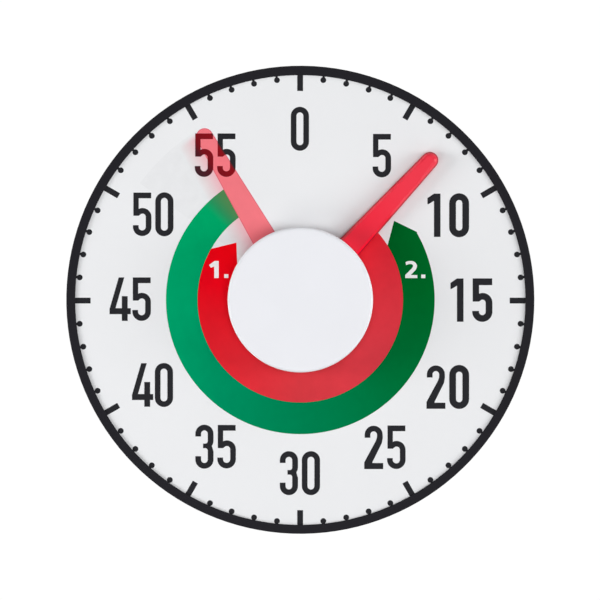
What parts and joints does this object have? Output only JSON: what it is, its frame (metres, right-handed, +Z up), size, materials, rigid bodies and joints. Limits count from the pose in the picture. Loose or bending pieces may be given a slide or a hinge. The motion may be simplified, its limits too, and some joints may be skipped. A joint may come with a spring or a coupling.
{
  "type": "visual countdown timer",
  "caption": "Round wall timer: white dial with black rim, red pointer on a large white knob, spring movement with bell, magnets and keyhole on the rear drum.",
  "frame": {"origin": "on the turning axis, in the plane of the rear cover that rests on the board", "axes": "+Z is up (minute 0), the dial faces -Y, +X is to the viewer's right; +Y points into the board"},
  "size_m": [0.3, 0.052, 0.3],
  "materials": {
    "dial_white": "satin white sheet, screen printed",
    "case_black": "fine textured black ABS",
    "cover_black": "fine textured black ABS",
    "knob_white": "satin white ABS",
    "pointer_red": "semi gloss red ABS",
    "slip_plastic": "unfilled slippery plastic",
    "screw_steel": "zinc plated",
    "bright_steel": "turned and polished steel",
    "spring_steel": "blued spring steel",
    "magnet_nickel": "nickel plated magnet",
    "bell_steel": "nickel plated steel",
    "plate_brass": "pressed brass sheet",
    "wheel_brass": "cut brass"
  },
  "bodies": {
    "case": {"dial_plate": "dial_white", "rim_ring": "case_black", "rear_shell": "case_black", "movement_drum": "case_black", "drum_screws": "screw_steel", "back_cover": "cover_black", "back_cover_screws": "screw_steel", "case_screws": "screw_steel", "magnets": "magnet_nickel", "magnet_cups": "screw_steel", "glide_washer": "slip_plastic", "stop_pin": "bright_steel", "movement_front_plate": "plate_brass", "movement_rear_plate": "plate_brass", "plate_pillars": "bright_steel", "pillar_screws": "screw_steel", "movement_screws": "screw_steel", "front_bush": "plate_brass", "rear_bush": "plate_brass", "mainspring": "spring_steel", "spring_post": "bright_steel", "bell": "bell_steel", "bell_post": "bright_steel", "bell_screw": "screw_steel", "hammer_pivot": "bright_steel", "hammer_spring": "spring_steel", "hammer_spring_post": "bright_steel"},
    "turning_set": {"knob_cap": "knob_white", "pointer": "pointer_red", "knob_screws": "screw_steel", "main_arbor": "bright_steel", "clutch_washer": "spring_steel", "main_wheel": "wheel_brass", "trip_cam": "slip_plastic"},
    "second_set": {"second_arbor": "bright_steel", "second_wheel": "wheel_brass"},
    "third_set": {"third_arbor": "bright_steel", "third_wheel": "wheel_brass"},
    "escape_set": {"escape_arbor": "bright_steel", "escape_wheel": "wheel_brass"},
    "anchor_set": {"anchor": "bright_steel", "pallet_pins": "bright_steel", "anchor_arbor": "bright_steel"},
    "hammer_set": {"hammer": "bright_steel"}
  },
  "joints": [
    {"name": "timer_turn", "type": "hinge", "parent": "case", "child": "turning_set", "pos_m": [0, 0, 0], "axis": [0, 1, 0], "range_deg": [-42.9, 305.05], "deforming": ["mainspring"]},
    {"name": "second_spin", "type": "hinge", "parent": "case", "child": "second_set", "pos_m": [0.0117, 0, -0.02026], "axis": [0, 1, 0], "continuous": true},
    {"name": "third_spin", "type": "hinge", "parent": "case", "child": "third_set", "pos_m": [0.02836, 0, -0.0169], "axis": [0, 1, 0], "continuous": true},
    {"name": "escape_spin", "type": "hinge", "parent": "case", "child": "escape_set", "pos_m": [0.03087, 0, -0.00272], "axis": [0, 1, 0], "continuous": true},
    {"name": "anchor_rock", "type": "hinge", "parent": "case", "child": "anchor_set", "pos_m": [0.02875, 0, 0.00925], "axis": [0, 1, 0], "range_deg": [-5, 5]},
    {"name": "hammer_swing", "type": "hinge", "parent": "case", "child": "hammer_set", "pos_m": [0.015, 0, -0.017], "axis": [0, 1, 0], "range_deg": [0, 8], "stiffness_Nm_per_rad": 0.01, "springref_deg": -2.86, "deforming": ["hammer_spring"]}
  ],
  "couplings": [
    {"joint": "second_spin", "follows": "timer_turn", "ratio": -8},
    {"joint": "third_spin", "follows": "timer_turn", "ratio": 60},
    {"joint": "escape_spin", "follows": "timer_turn", "ratio": -420}
  ]
}
